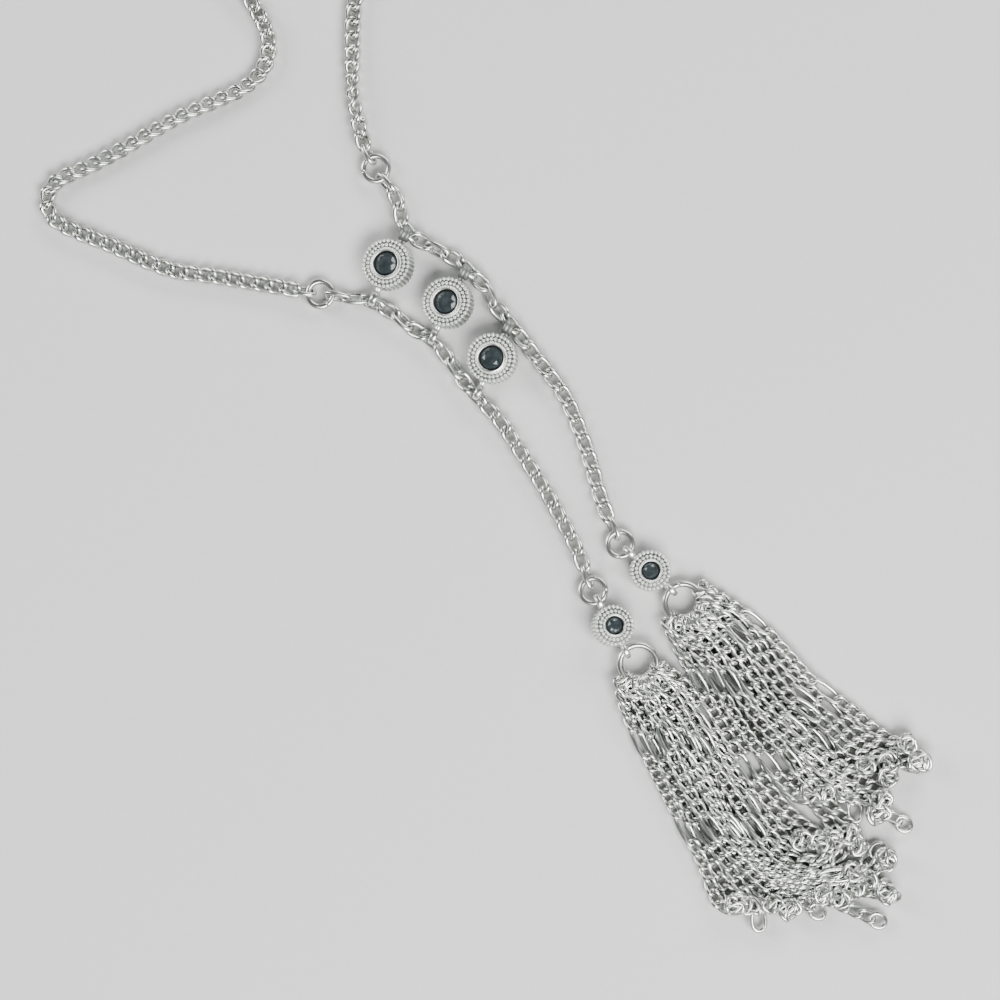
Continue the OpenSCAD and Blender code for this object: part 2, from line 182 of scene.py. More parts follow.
def plated_silver(name, bright, shade, roughness):
    """Polished plating with soft clouding, a fine brushed bump, and dark tarnish with painted
    shade in its hollows.
    """
    material, start = new_material(name)
    place = start.node("ShaderNodeTexCoord", {}, {}, "Object")
    cloud = start.node("ShaderNodeTexNoise", {}, {"Vector": place, "Scale": 260.0, "Detail": 3.0})
    stretched = start.node("ShaderNodeMapping", {}, {"Vector": place, "Scale": (1.0, 0.3, 1.0)})
    brushed = start.node(
        "ShaderNodeTexNoise", {}, {"Vector": stretched, "Scale": 5200.0, "Detail": 2.0})
    tarnish_and_shade = start.node("ShaderNodeAttribute", {"attribute_name": "tarnish_and_shade"}, {}, "Fac")
    polish = 1 - 0.55 * cloud
    finish_material(start, {
        # The hollows are darkened by a mix of tarnish and painted shade
        "Base Color": mixed(tarnish_and_shade, mixed(polish, shade, bright), TARNISH_AND_SHADE),
        "Metallic": 1.0,
        "Roughness": roughness + 0.14 * cloud + 0.3 * tarnish_and_shade,
        "Normal": start.node(
            "ShaderNodeBump", {}, {"Strength": 0.12, "Distance": 0.00002, "Height": brushed}),
    })
    return material


chain_silver = plated_silver("chain_silver", (0.86, 0.87, 0.84, 1), (0.62, 0.63, 0.6, 1), 0.22)

LINK_SIZES = ("Half length", "Half width", "Twist", "Fullness", "Wire")


def new_tree(name, sizes, counts):
    """A Shade on a new Geometry Nodes tree, and one for each of the tree's named inputs."""
    tree = bpy.data.node_groups.new(name, "GeometryNodeTree")
    tree.interface.new_socket("Points", in_out="INPUT", socket_type="NodeSocketGeometry")
    for size in sizes:
        tree.interface.new_socket(size, in_out="INPUT", socket_type="NodeSocketFloat")
    for count in counts:
        tree.interface.new_socket(count, in_out="INPUT", socket_type="NodeSocketInt")
    tree.interface.new_socket("Metal", in_out="INPUT", socket_type="NodeSocketMaterial")
    tree.interface.new_socket("Made", in_out="OUTPUT", socket_type="NodeSocketGeometry")
    start = Shade(tree)
    given = start.node("NodeGroupInput", {}, {}).socket.node
    return start, {socket.name: Shade(tree, socket) for socket in given.outputs}


def link_tree():
    """Geometry Nodes that set a bent wire link on each point, turned by its two attributes."""
    start, value = new_tree("wire_links", LINK_SIZES, ("Steps", "Sides"))
    loop = start.node(
        "GeometryNodeCurvePrimitiveCircle", {}, {"Resolution": value["Steps"], "Radius": 1.0})
    spot = start.node("GeometryNodeInputPosition", {}, {})
    x = start.node("ShaderNodeSeparateXYZ", {}, {"Vector": spot}, "X")
    y = start.node("ShaderNodeSeparateXYZ", {}, {"Vector": spot}, "Y")
    bent = start.node("ShaderNodeCombineXYZ", {}, {
        "X": value["Half length"] * x * (1 + value["Fullness"] * y * y),
        "Y": value["Half width"] * y,
        "Z": -2 * value["Twist"] * x * y,
    })
    shaped = start.node("GeometryNodeSetPosition", {}, {"Geometry": loop, "Position": bent})
    section = start.node("GeometryNodeCurvePrimitiveCircle", {}, {
        "Resolution": value["Sides"], "Radius": value["Wire"] * 0.5})
    link = start.node("GeometryNodeCurveToMesh", {}, {"Curve": shaped, "Profile Curve": section})
    named = {"data_type": "FLOAT_VECTOR"}
    along = start.node("GeometryNodeInputNamedAttribute", named, {"Name": "along"})
    up = start.node("GeometryNodeInputNamedAttribute", named, {"Name": "up"})
    turned = start.node(
        "FunctionNodeAxesToRotation", {"primary_axis": "X", "secondary_axis": "Z"},
        {"Primary Axis": along, "Secondary Axis": up})
    placed = start.node("GeometryNodeInstanceOnPoints", {}, {
        "Points": value["Points"], "Instance": link, "Rotation": turned})
    real = start.node("GeometryNodeRealizeInstances", {}, {"Geometry": placed})
    smooth = start.node("GeometryNodeSetShadeSmooth", {}, {"Geometry": real})
    plated = start.node(
        "GeometryNodeSetMaterial", {}, {"Geometry": smooth, "Material": value["Metal"]})
    start.node("NodeGroupOutput", {}, {"Made": plated})
    return start.tree


def grown(name, tree, points, vectors, values):
    """The mesh that a Geometry Nodes tree makes on some points, in millimetres."""
    mesh = bpy.data.meshes.new(name)
    mesh.from_pydata([tuple(p) for p in points], [], [])
    for key, column in vectors.items():
        layer = mesh.attributes.new(key, "FLOAT_VECTOR", "POINT")
        layer.data.foreach_set("vector", np.array(column, float).ravel())
    holder = bpy.data.objects.new(name, mesh)
    bpy.context.scene.collection.objects.link(holder)
    modifier = holder.modifiers.new(name, "NODES")
    modifier.node_group = tree
    for item in tree.interface.items_tree:
        if item.in_out == "INPUT" and item.name in values:
            modifier[item.identifier] = values[item.name]
    bpy.context.view_layer.update()
    shown = bpy.context.evaluated_depsgraph_get()
    made = bpy.data.meshes.new_from_object(holder.evaluated_get(shown), depsgraph=shown)
    bpy.data.objects.remove(holder)
    bpy.data.meshes.remove(mesh)
    return made


WIRE_LINKS = link_tree()
# Gap left between a link and the table
TABLE_GAP = 0.02


def unit(v):
    return v / np.linalg.norm(v)


def resting(places, size):
    """The same places, each lifted by as much as its link would dip into the table."""
    half_length, half_width, twist, fullness, wire = size
    t = np.linspace(0, 2 * math.pi, 24, endpoint=False)
    x = half_length * np.cos(t) * (1 + fullness * np.sin(t) ** 2)
    y, z = half_width * np.sin(t), -twist * np.sin(2 * t)
    lifted = []
    for centre, along, up in places:
        along = unit(np.array(along, float))
        up = unit(up - (up @ along) * along)
        lowest = (x * along[2] + y * np.cross(up, along)[2] + z * up[2]).min() - wire / 2
        lifted.append((centre + (0, 0, max(0, TABLE_GAP - lowest - centre[2])), along, up))
    return lifted


def wire_links(name, places, size, steps=16, sides=6):
    """A mesh of links, one on each place of (centre, along, up), all of one size in the order
    of LINK_SIZES."""
    values = dict(zip(LINK_SIZES, map(float, size)))
    values.update({"Steps": steps, "Sides": sides, "Metal": chain_silver})
    centres, alongs, ups = zip(*resting(places, size))
    return grown(name, WIRE_LINKS, centres, {"along": alongs, "up": ups}, values)


def piece(name, meshes, metal, node, smooth=True):
    """One object of some millimetre meshes, which rides on the root and stands for a CAD node."""
    whole = bmesh.new()
    for mesh in meshes:
        whole.from_mesh(mesh)
    bmesh.ops.recalc_face_normals(whole, faces=whole.faces)
    bmesh.ops.scale(whole, vec=(MM, MM, MM), verts=whole.verts)
    for face in whole.faces:
        face.smooth = smooth
    final = bpy.data.meshes.new(name)
    whole.to_mesh(final)
    whole.free()
    final.materials.clear()
    final.materials.append(metal)
    shown = bpy.data.objects.new(name, final)
    bpy.context.scene.collection.objects.link(shown)
    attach(shown, "root")
    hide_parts(node)


def solids(node):
    """The points of each loose solid of a CAD node, in millimetres."""
    copy = bmesh.new()
    copy.from_mesh(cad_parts[node].data)
    bmesh.ops.remove_doubles(copy, verts=copy.verts, dist=1e-6)
    left = set(copy.verts)
    found = []
    while left:
        reached = [left.pop()]
        for vertex in reached:
            for edge in vertex.link_edges:
                other = edge.other_vert(vertex)
                if other in left:
                    left.remove(other)
                    reached.append(other)
        found.append(np.array([v.co for v in reached]) / MM)
    copy.free()
    return found


def lie_of(points):
    """Centre, longest direction and flat normal of a solid."""
    centre = (points.min(0) + points.max(0)) / 2
    _, axes = np.linalg.eigh(np.cov((points - points.mean(0)).T))
    along, up = axes[:, 2], axes[:, 0]
    return centre, along, up if up[2] > 0 else -up


def in_order(node, ring):
    """Centre, direction and normal of each link of a CAD chain, counted from a ring on, with
    the directions all leading away from it."""
    left = [lie_of(points) for points in solids(node)]
    here = np.array(sum(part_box(ring), Vector()) / 2 / MM)
    chain = []
    while left:
        nearest = min(range(len(left)), key=lambda i: np.linalg.norm(left[i][0] - here))
        chain.append(left.pop(nearest))
        here = chain[-1][0]
    signed = []
    for i, (centre, along, up) in enumerate(chain):
        ahead = chain[i + 1][0] - centre if i < len(chain) - 1 else centre - chain[i - 1][0]
        signed.append((centre, along if along @ ahead > 0 else -along, up))
    return signed


# Height of the joints between two flat links
FLAT_JOINT = 1.24
# Each flat link leans to either side by up to so many degrees
FLAT_LEAN = 8


def lay_chain(node, ring, pitch, rolled, turns, seed):
    """Places of the links of a CAD chain, counted from a ring on, sorted by their kind: rolled
    as in the frame, or flat with a left or a right twist, so that neighbours always cross.
    The chain turns over a little round some links: turns has (link, reach, degrees) rows."""
    chain = in_order(node, ring)
    rolled = {i % len(chain) for i in rolled}
    joints = [chain[0][0] - chain[0][1] * pitch / 2]
    joints += [centre + along * pitch / 2 for centre, along, _ in chain]
    for i in range(1, len(chain)):
        if i not in rolled and i - 1 not in rolled:
            joints[i][2] = FLAT_JOINT
    chance = random.Random(seed)
    kinds = {"rolled": [], 1: [], -1: []}
    tilt = 0
    for i, (centre, along, up) in enumerate(chain):
        side = unit(np.cross((0, 0, 1), along))
        if i in rolled:
            way = -1 if up @ side > 0 else 1
            if tilt and way == tilt:
                up = up - 2 * (up @ side) * side
                way = -way
            kinds["rolled"].append((centre, along, up))
            tilt = way
        else:
            lean = math.radians(chance.uniform(-FLAT_LEAN, FLAT_LEAN) + sum(
                turn * math.exp(-((i - link) / reach) ** 2) for link, reach, turn in turns))
            up = np.array((0, 0, math.cos(lean))) + side * math.sin(lean)
            kinds[-tilt].append(
                ((joints[i] + joints[i + 1]) / 2, unit(joints[i + 1] - joints[i]), up))
    return kinds


def chain_meshes(name, kinds, flat, upright):
    """Meshes of a chain: flat twisted links either way, and plain upright ones."""
    half_length, half_width, twist, fullness, wire = flat
    meshes = [wire_links(name, kinds["rolled"], upright, sides=8)]
    for way in (1, -1):
        if kinds[way]:
            size = (half_length, half_width, way * twist, fullness, wire)
            meshes.append(wire_links(name, kinds[way], size, steps=20, sides=8))
    return meshes


NECK_PITCH = 2.86
# Sizes in the order of LINK_SIZES
NECK_FLAT = (2.03, 1.25, 0.74, 0, 1.04)
NECK_UPRIGHT = (2.01, 1.2, 0, 0.4, 1.0)
NECK_TURNS = {
    # link, reach, degrees
    "left": ((30, 12, 40), (46, 4, -44)),
    "right": ((4.3, 2.2, 78), (14, 3, 20)),
}

for side, seed in (("left", 3), ("right", 4)):
    node = f"neck_chain_{side}"
    kinds = lay_chain(
        node, f"joining_ring_{side}", NECK_PITCH, (0, -1), NECK_TURNS[side], seed)
    meshes = chain_meshes(node, kinds, NECK_FLAT, NECK_UPRIGHT)
    piece(f"{node}_links", meshes, chain_silver, node)

# The joining rings and the drop rings: round jump rings of thicker silver-tone wire, sawn
# through once and pressed shut round the chains, with a fine seam where the ends meet.

# Opening of a ring's seam and, from there on, where its ends are full again, in degrees
SEAM = 1.6
SEAM_EDGE = 0.7
# The wire's thickness at the very ends, as a share
SEAM_END = 0.9


def swept(sections, closed, tarnish_and_shade=0):
    """A bar through its sections, each a list of corners, with its ends capped if it is open."""
    skin = bmesh.new()
    layer = skin.verts.layers.float.new("tarnish_and_shade")
    rows = [[skin.verts.new(Vector(corner)) for corner in section] for section in sections]
    # Every corner gets the same share of the hollows' dark tone, tarnish and painted shade
    for vertex in skin.verts:
        vertex[layer] = tarnish_and_shade
    count = len(rows[0])
    pairs = list(zip(rows, rows[1:])) + ([(rows[-1], rows[0])] if closed else [])
    for first, second in pairs:
        for j in range(count):
            skin.faces.new((first[j], first[(j + 1) % count], second[(j + 1) % count], second[j]))
    if not closed:
        skin.faces.new(rows[0][::-1])
        skin.faces.new(rows[-1])
    mesh = bpy.data.meshes.new("wire")
    skin.to_mesh(mesh)
    skin.free()
    return mesh


def jump_ring(centre, normal, bend, wire, seam_at, steps=64, sides=16):
    """A ring with a narrow seam: its last sections draw in a little where the ends meet."""
    normal = unit(np.array(normal, float))
    across = unit(np.cross(normal, (0.3, 1, 0)))
    turn = np.cross(normal, across)
    first = seam_at + SEAM / 2
    angles = [first + (360 - SEAM) * i / steps for i in range(steps + 1)]
    angles[1:1] = [angles[0] + SEAM_EDGE]
    angles[-1:-1] = [angles[-1] - SEAM_EDGE]
    sections = []
    for i, angle in enumerate(angles):
        a = math.radians(angle)
        out = math.cos(a) * across + math.sin(a) * turn
        r = wire / 2 * (SEAM_END if i in (0, len(angles) - 1) else 1)
        sections.append([
            centre + out * (bend + r * math.cos(2 * math.pi * j / sides))
            + normal * r * math.sin(2 * math.pi * j / sides) for j in range(sides)])
    return swept(sections, False)


ring_silver = plated_silver("ring_silver", (0.80, 0.79, 0.77, 1), (0.56, 0.555, 0.54, 1), 0.24)

RING_BEND = 2.51
RING_WIRE = 1.16

for name, seam_at in (("joining_ring_left", 140), ("joining_ring_right", 30),
                      ("drop_ring_left", 200), ("drop_ring_right", 100)):
    centre, _, normal = lie_of(solids(name)[0])
    ring = jump_ring(centre, normal, RING_BEND, RING_WIRE, seam_at)
    piece(f"{name}_wire", [ring], ring_silver, name)

# The drop chains: silver-tone links as in the neck chain, but longer, hooked into the joining
# rings and the drop rings. Where a connector's loop goes round a link, it stands on edge.

DROP_PITCH = 3.56
# Sizes in the order of LINK_SIZES
DROP_FLAT = (2.4, 1.18, 0.74, 0, 1.04)
DROP_UPRIGHT = (2.36, 1.15, 0, 0.4, 1.0)
# The links that stand on edge, counted from the joining ring
DROP_ROLLED = {"left": (0, 1, 2, 4, 6, 8, 10, -1), "right": (0, 3, 5, 7, 9, 11, -1)}

for side, seed in (("left", 5), ("right", 6)):
    node = f"drop_chain_{side}"
    kinds = lay_chain(node, f"joining_ring_{side}", DROP_PITCH, DROP_ROLLED[side], (), seed)
    meshes = chain_meshes(node, kinds, DROP_FLAT, DROP_UPRIGHT)
    piece(f"{node}_links", meshes, chain_silver, node)

# The connectors: round settings cast in silver-tone metal, with a fluted side, rings of beads
# on the face and a smooth rim pressed over the stone. A loop at each end, soldered on, holds
# a chain.

cast_silver = plated_silver("cast_silver", (0.97, 0.98, 0.95, 1), (0.88, 0.90, 0.86, 1), 0.24)


def bead_tree():
    """Geometry Nodes that set round beads at even steps on a circle."""
    start, value = new_tree("bead_ring", ("Circle", "Bead", "Height"), ("Count",))
    circle = start.node("GeometryNodeMeshCircle", {}, {
        "Vertices": value["Count"], "Radius": value["Circle"]})
    lifted = start.node("GeometryNodeSetPosition", {}, {
        "Geometry": circle,
        "Offset": start.node("ShaderNodeCombineXYZ", {}, {"Z": value["Height"]})})
    bead = start.node("GeometryNodeMeshIcoSphere", {}, {
        "Radius": value["Bead"] * 0.5, "Subdivisions": 2})
    random_turn = start.node("FunctionNodeRandomValue", {"data_type": "FLOAT_VECTOR"}, {
        "Max": (6.28, 6.28, 6.28), "Seed": 7})
    # Sockets 2 and 3 are the least and the most of a random number, and 1 is that number
    random_size = start.node("FunctionNodeRandomValue", {"data_type": "FLOAT"}, {
        2: 0.92, 3: 1.05, "Seed": 8}, 1)
    placed = start.node("GeometryNodeInstanceOnPoints", {}, {
        "Points": lifted, "Instance": bead, "Rotation": random_turn, "Scale": random_size})
    real = start.node("GeometryNodeRealizeInstances", {}, {"Geometry": placed})
    plated = start.node(
        "GeometryNodeSetMaterial", {}, {"Geometry": real, "Material": value["Metal"]})
    start.node("NodeGroupOutput", {}, {"Made": plated})
    return start.tree


BEAD_RING = bead_tree()
BEADS = [
    # how far in from the side, size of a bead, height of its middle over the body
    (0.47, 0.83, 0.04),
    (1.32, 0.81, 0.1),
    (2.0, 0.5, 0.3),
]
# From the middle of one bead to the next, in beads
BEAD_STEP = 1.02
FLUTE_DEPTH = 0.28
FLUTE_STEPS = 6
# How far a flute's bottom is darkened, by tarnish and painted shade
FLUTE_TARNISH_AND_SHADE = 0.55


def moved(mesh, place):
    mesh.transform(place)
    return mesh


def cast_body(radius, height, stone_r, flutes):
    """The turned body, with its fluted side; deep places are marked for dark tarnish and painted
    shade.
    """
    profile = [
        # radius, height, depth of flutes, share of tarnish and painted shade
        (stone_r - 0.5, height - 2.0, 0, 1), (stone_r - 0.5, 0.15, 0, 1),
        (stone_r - 0.3, 0, 0, 0), (radius - 0.25, 0, 0.5, 0), (radius - 0.03, 0.16, 1, 0),
        (radius, 0.45, 1, 0), (radius, height - 0.95, 1, 0), (radius - 0.05, height - 0.5, 1, 0),
        (radius - 0.2, height - 0.3, 0.5, 0), (radius - 0.34, height - 0.12, 0, 0.6),
        (radius - 0.5, height + 0.04, 0, 0.8), (radius - 1.3, height + 0.08, 0, 0.8),
        (radius - 1.74, height + 0.1, 0, 0.8), (radius - 1.8, height + 0.16, 0, 0.4),
        (stone_r + 0.5, height + 0.3, 0, 0), (stone_r + 0.34, height + 0.42, 0, 0),
        (stone_r + 0.22, height + 0.44, 0, 0), (stone_r + 0.12, height + 0.36, 0, 0.1),
        (stone_r + 0.05, height + 0.1, 0, 0.6), (stone_r + 0.04, height - 1.2, 0, 1),
        (stone_r - 0.5, height - 1.3, 0, 1),
    ]
    turns = FLUTE_STEPS * flutes
    skin = bmesh.new()
    layer = skin.verts.layers.float.new("tarnish_and_shade")
    rows = []
    for r, z, deep, tarnish_and_shade in profile:
        row = []
        for k in range(turns):
            wave = (0.5 + 0.5 * math.cos(2 * math.pi * k / FLUTE_STEPS)) * deep
            a = 2 * math.pi * k / turns
            reach = r - FLUTE_DEPTH * wave
            vertex = skin.verts.new((reach * math.cos(a), reach * math.sin(a), z))
            # Flute bottoms, the stone's pocket and the ground between the beads get tarnish and
            # painted shade
            vertex[layer] = min(1, tarnish_and_shade + FLUTE_TARNISH_AND_SHADE * wave)
            row.append(vertex)
        rows.append(row)
    for i, row in enumerate(rows):
        ahead = rows[(i + 1) % len(rows)]
        for k in range(turns):
            m = (k + 1) % turns
            skin.faces.new((row[k], row[m], ahead[m], ahead[k]))
    mesh = bpy.data.meshes.new("cast_body")
    skin.to_mesh(mesh)
    skin.free()
    return mesh


def ribbed_loop(bend, wire, width, ribs, dull, steps=40):
    """A loop round the Y axis, as wide as given, with soft ribs running round it."""
    count = 8 * ribs
    outline = []
    for j in range(count + 1):
        t = j / count
        bump = math.sqrt(abs(math.sin(math.pi * ribs * t)))
        edge = min(1, 5 * min(t, 1 - t))
        # The wire is thin at its edges and full inside, with a bump for each rib
        outline.append((wire / 2 * (0.1 + 0.62 * edge + 0.28 * bump), (t - 0.5) * width))
    outline += [(-wire / 2 * (1 - 0.5 * abs(t / 2 - 1)), (0.5 - t / 4) * width * 0.92)
                for t in range(5)]
    sections = []
    for i in range(steps):
        a = 2 * math.pi * i / steps
        sections.append([
            ((bend + r) * math.cos(a), y, (bend + r) * math.sin(a)) for r, y in outline])
    return swept(sections, True, dull)


def soldered_neck(body_end, loop_end, width, sides=14):
    """The short stem between a body and its loop, wider where the loop is wide."""
    spread = max(1, width / 1.6)
    sections = []
    for x, r in ((body_end - 0.6, 0.75), (body_end - 0.1, 0.68),
                 (loop_end - 0.3, 0.5), (loop_end, 0.56)):
        sections.append([
            (x, r * spread * math.cos(2 * math.pi * j / sides),
             r * math.sin(2 * math.pi * j / sides)) for j in range(sides)])
    return swept(sections, False)


def connector(radius, height, stone_r, rise, loop_at, loops, flutes, place, lean):
    """Meshes of one setting; loops gives bend, wire, width, ribs and dullness at each end."""
    body = cast_body(radius, height, stone_r, flutes)
    meshes = [moved(body, place @ Matrix.Translation((0, 0, -rise)))]
    for inset, bead, lift in BEADS:
        circle = radius - inset
        ring = grown("beads", BEAD_RING, [], {}, {
            "Count": round(2 * math.pi * circle / (BEAD_STEP * bead)), "Circle": circle,
            "Bead": bead, "Height": height - rise + lift, "Metal": cast_silver})
        meshes.append(moved(ring, place))
    for turn, (bend, wire, width, ribs, dull) in zip((0, 180), loops):
        spun = place @ Matrix.Rotation(math.radians(turn), 4, "Z")
        upright = Matrix.Rotation(math.radians(lean if turn == 0 else -lean), 4, "X")
        loop = ribbed_loop(bend, wire, width, ribs, dull)
        meshes.append(moved(loop, spun @ Matrix.Translation((loop_at, 0, 0)) @ upright))
        meshes.append(moved(soldered_neck(radius, loop_at - bend, width), spun))
    return meshes


def setting_place(x, y, z, azimuth, lean):
    """Where a setting lies, turned to its direction and leaning over on its loops' line."""
    return (Matrix.Translation((x, y, z)) @ Matrix.Rotation(math.radians(azimuth), 4, "Z")
            @ Matrix.Rotation(math.radians(-lean), 4, "X"))


UPPER_CAST = {
    "radius": 5.1, "height": 3.5, "stone_r": 2.4, "rise": 0.9, "loop_at": 7.15, "flutes": 36,
    # bend, wire, width, ribs, dullness
    "loops": ((1.275, 0.8, 2.1, 2, 0.7), (1.275, 0.8, 1.5, 1, 0)),
}
UPPER = [
    # x, y, height of the loops, direction, lean
    (-19.8, -6.5, 2.372, 64, 17),
    (-7.9, -14.1, 2.291, 64, 16),
    (0.9, -25.15, 2.133, 65, 10),
]
for k, row in enumerate(UPPER, 1):
    meshes = connector(place=setting_place(*row), lean=row[4], **UPPER_CAST)
    piece(f"connector_{k}_cast", meshes, cast_silver, f"connector_{k}")

LOWER_CAST = {
    "radius": 4.2, "height": 3.1, "stone_r": 1.75, "rise": 1.3, "loop_at": 5.45, "flutes": 32,
    # bend, wire, width, ribs, dullness
    "loops": ((1.35, 0.9, 1.2, 1, 0), (1.35, 0.9, 1.3, 1, 0)),
}
LOWER = {
    # x, y, height of the loops, direction, lean
    "left": (24.621, -78.376, 2.297, -61.5, 14),
    "right": (32.170, -67.347, 1.825, -42, 3),
}
for side, row in LOWER.items():
    meshes = connector(place=setting_place(*row), lean=row[4], **LOWER_CAST)
    node = f"drop_connector_{side}"
    piece(f"{node}_cast", meshes, cast_silver, node)

# The stones: round cut glass of a dark smoky grey-blue, with an eight-sided table and a ring
# of kite and triangle facets round it. Each lies in its setting's pocket under the rim.


def smoky_glass():
    material, start = new_material("smoky_glass")
    place = start.node("ShaderNodeTexCoord", {}, {}, "Object")
    cloud = start.node("ShaderNodeTexNoise", {}, {"Vector": place, "Scale": 700.0, "Detail": 2.0})
    finish_material(start, {
        "Base Color": mixed(cloud, (0.03, 0.038, 0.041, 1), (0.14, 0.165, 0.175, 1)),
        "Roughness": 0.03 + 0.04 * cloud,
        "IOR": 1.62,
        "Specular IOR Level": 0.5,
        "Coat Weight": 0.25,
        "Coat Roughness": 0.03,
    })
    return material


glass = smoky_glass()


def cut_stone(radius, girdle):
    """The hull of the corners of a round brilliant cut, whose girdle is at the given height."""
    crown = 0.34 * radius
    table_r, kite_r = 0.56 * radius, 0.8 * radius
    kite_z = crown * (radius - kite_r * math.cos(math.pi / 8)) / (radius - table_r)
    rings = [
        # corners, radius, height over the girdle, turn in steps
        (8, table_r, crown, 0), (8, kite_r, kite_z, 0.5), (16, radius, 0, 0),
        (16, radius, -0.1, 0), (8, 0.75 * radius, -0.42, 0.5), (8, 0.3 * radius, -0.95, 0),
    ]
    skin = bmesh.new()
    for count, r, z, shift in rings:
        for k in range(count):
            a = 2 * math.pi * (k + shift) / count
            skin.verts.new((r * math.cos(a), r * math.sin(a), girdle + z))
    bmesh.ops.convex_hull(skin, input=skin.verts)
    bmesh.ops.dissolve_limit(skin, angle_limit=0.01, verts=skin.verts, edges=skin.edges)
    mesh = bpy.data.meshes.new("cut_stone")
    skin.to_mesh(mesh)
    skin.free()
    return mesh


# Radius of a stone, and the height of its girdle over the loops
UPPER_STONE = (2.36, 2.4)
LOWER_STONE = (1.71, 1.6)

for k, row in enumerate(UPPER, 1):
    stone = moved(cut_stone(*UPPER_STONE), setting_place(*row))
    piece(f"stone_{k}_cut", [stone], glass, f"stone_{k}", smooth=False)
for side, row in LOWER.items():
    stone = moved(cut_stone(*LOWER_STONE), setting_place(*row))
    node = f"drop_stone_{side}"
    piece(f"{node}_cut", [stone], glass, node, smooth=False)

# The tassel rings: large jump rings of heavy silver-tone wire, pressed shut. Each hangs in a
# lower connector's loop and slopes down to the table.

TASSEL_BEND = 3.675
TASSEL_RING_WIRE = 1.34

tassel_lie = {}
for side, seam_at in (("left", 70), ("right", 300)):
    name = f"tassel_ring_{side}"
    centre, _, normal = lie_of(solids(name)[0])
    tassel_lie[side] = (centre, normal)
    ring = jump_ring(centre, normal, TASSEL_BEND, TASSEL_RING_WIRE, seam_at, steps=88)
    piece(f"{name}_wire", [ring], ring_silver, name)

# The tassels: seventeen strands each of fine silver-tone figaro chain, five short links and
# then a long one, hooked side by side over the ring. They fan out over each other, and their
# ends lie in little heaps.

STRANDS = 17
SHORT_PITCH, LONG_PITCH, HEAP_PITCH = 2.74, 6.2, 2.1
TASSEL_LINKS = {
    # sizes in the order of LINK_SIZES
    "hook": (1.6, 1.02, 0.12, 0.2, 0.72),
    "short": (1.88, 1.04, 0.6, 0.1, 0.86),
    "long": (3.58, 1.12, 0.48, 0.3, 0.86),
    "heap": (1.55, 1.2, 0.3, 0.2, 0.82),
    "ring": (1.7, 1.4, 0, 0.05, 0.9),
    "hang": (2.2, 1.4, 0, 0.2, 0.9),
}
hook_reach, hook_wire = TASSEL_LINKS["hook"][0], TASSEL_LINKS["hook"][-1]
# From the ring's centre to the middle of the links that hook over it
HOOK_AT = TASSEL_BEND - TASSEL_RING_WIRE / 2 - hook_wire / 2 + hook_reach
# Where a strand's line starts beyond there: outwards, and then along the hooked link
HOOK_END = 0.3, 0.8
# Height of a strand that lies on the table, and how much higher each layer runs over it
STRAND_Z, LAYER_Z = 1.0, 1.25
# A strand passes no row that is nearer than this to its end, and leaves room there for its heap
ROW_ROOM, HEAP_ROOM = 3, 1.2
# A strand's line runs on past its last link by so much, for its direction there
RUN_ON = 4
# From a strand's last joint to the middle of an end ring, or of a link that hangs out
RING_REACH, HANG_REACH = 1.15, 1.8
# Least and greatest height of the joints in a heap, and how far its links are rolled
HEAP_LEVELS = 1.0, 3.6
HEAP_ROLL = 38

# hold has the bearings between which the strands hook over their ring. rows has the left and
# the right edge of a tassel at several places down it. ends has the place where each strand
# ends, and how: the number of links in its heap, a ring, or a link that hangs out
TASSELS = {
    "left": {
        "hold": (222, 351),
        "rows": [
            ((27, -94.2), (39.9, -91)), ((30, -101.2), (45.2, -100)),
            ((34, -108.8), (49.7, -107.8)), ((39, -118.6), (56.7, -118.2)),
            ((43, -126.2), (66, -125.8)), ((45.6, -133.6), (77.8, -126.4)),
        ],
        "ends": [
            (49.4, -135.6, 8), (52.6, -133.2, 4), (54.4, -136.4, "hang"), (58.2, -132.6, 6),
            (61.4, -134, 8), (64.6, -134.8, "ring"), (67, -131.4, 7), (70.5, -134, 7),
            (76.6, -136.8, "ring"), (73.5, -132.6, 5), (80, -132, 8), (76.5, -129.4, 5),
            (73, -126, 6), (81.2, -126, 8), (76.8, -124.2, "ring"), (70, -122.4, 6),
            (74, -121.4, 7),
        ],
    },
    "right": {
        "hold": (229, 396),
        "rows": [
            ((39.7, -86), (54.2, -78.2)), ((43.3, -92.2), (59.4, -83.6)),
            ((47.2, -99.4), (65.2, -90)), ((51.8, -107.9), (71.4, -94.4)),
            ((57.5, -115.7), (77.8, -99.6)),
        ],
        "ends": [
            (63.4, -120.6, 8), (66.6, -120.8, 8), (64.6, -113, 4), (70, -119.8, 5),
            (74.2, -119.8, 7), (67.6, -111.6, 5), (70.6, -110.6, 5), (73.8, -114.4, "hang"),
            (79.4, -115.4, 10), (82, -117.4, "ring"), (79.4, -111.8, 9), (76, -108, 7),
            (80.8, -107.6, 8), (80.4, -104.6, 6), (86.5, -107.2, 10), (83.8, -103.2, 9),
            (86.4, -104.4, 10),
        ],
    },
}


def curve_through(knots, steps=24):
    """Points on a smooth curve through some knots."""
    knots = [2 * knots[0] - knots[1]] + list(knots) + [2 * knots[-1] - knots[-2]]
    points = []
    for a, b, c, d in zip(knots, knots[1:], knots[2:], knots[3:]):
        for k in range(steps):
            t = k / steps
            points.append(0.5 * (2 * b + (c - a) * t + (2 * a - 5 * b + 4 * c - d) * t * t
                                 + (3 * b - a - 3 * c + d) * t * t * t))
    return np.array(points + [knots[-2]])


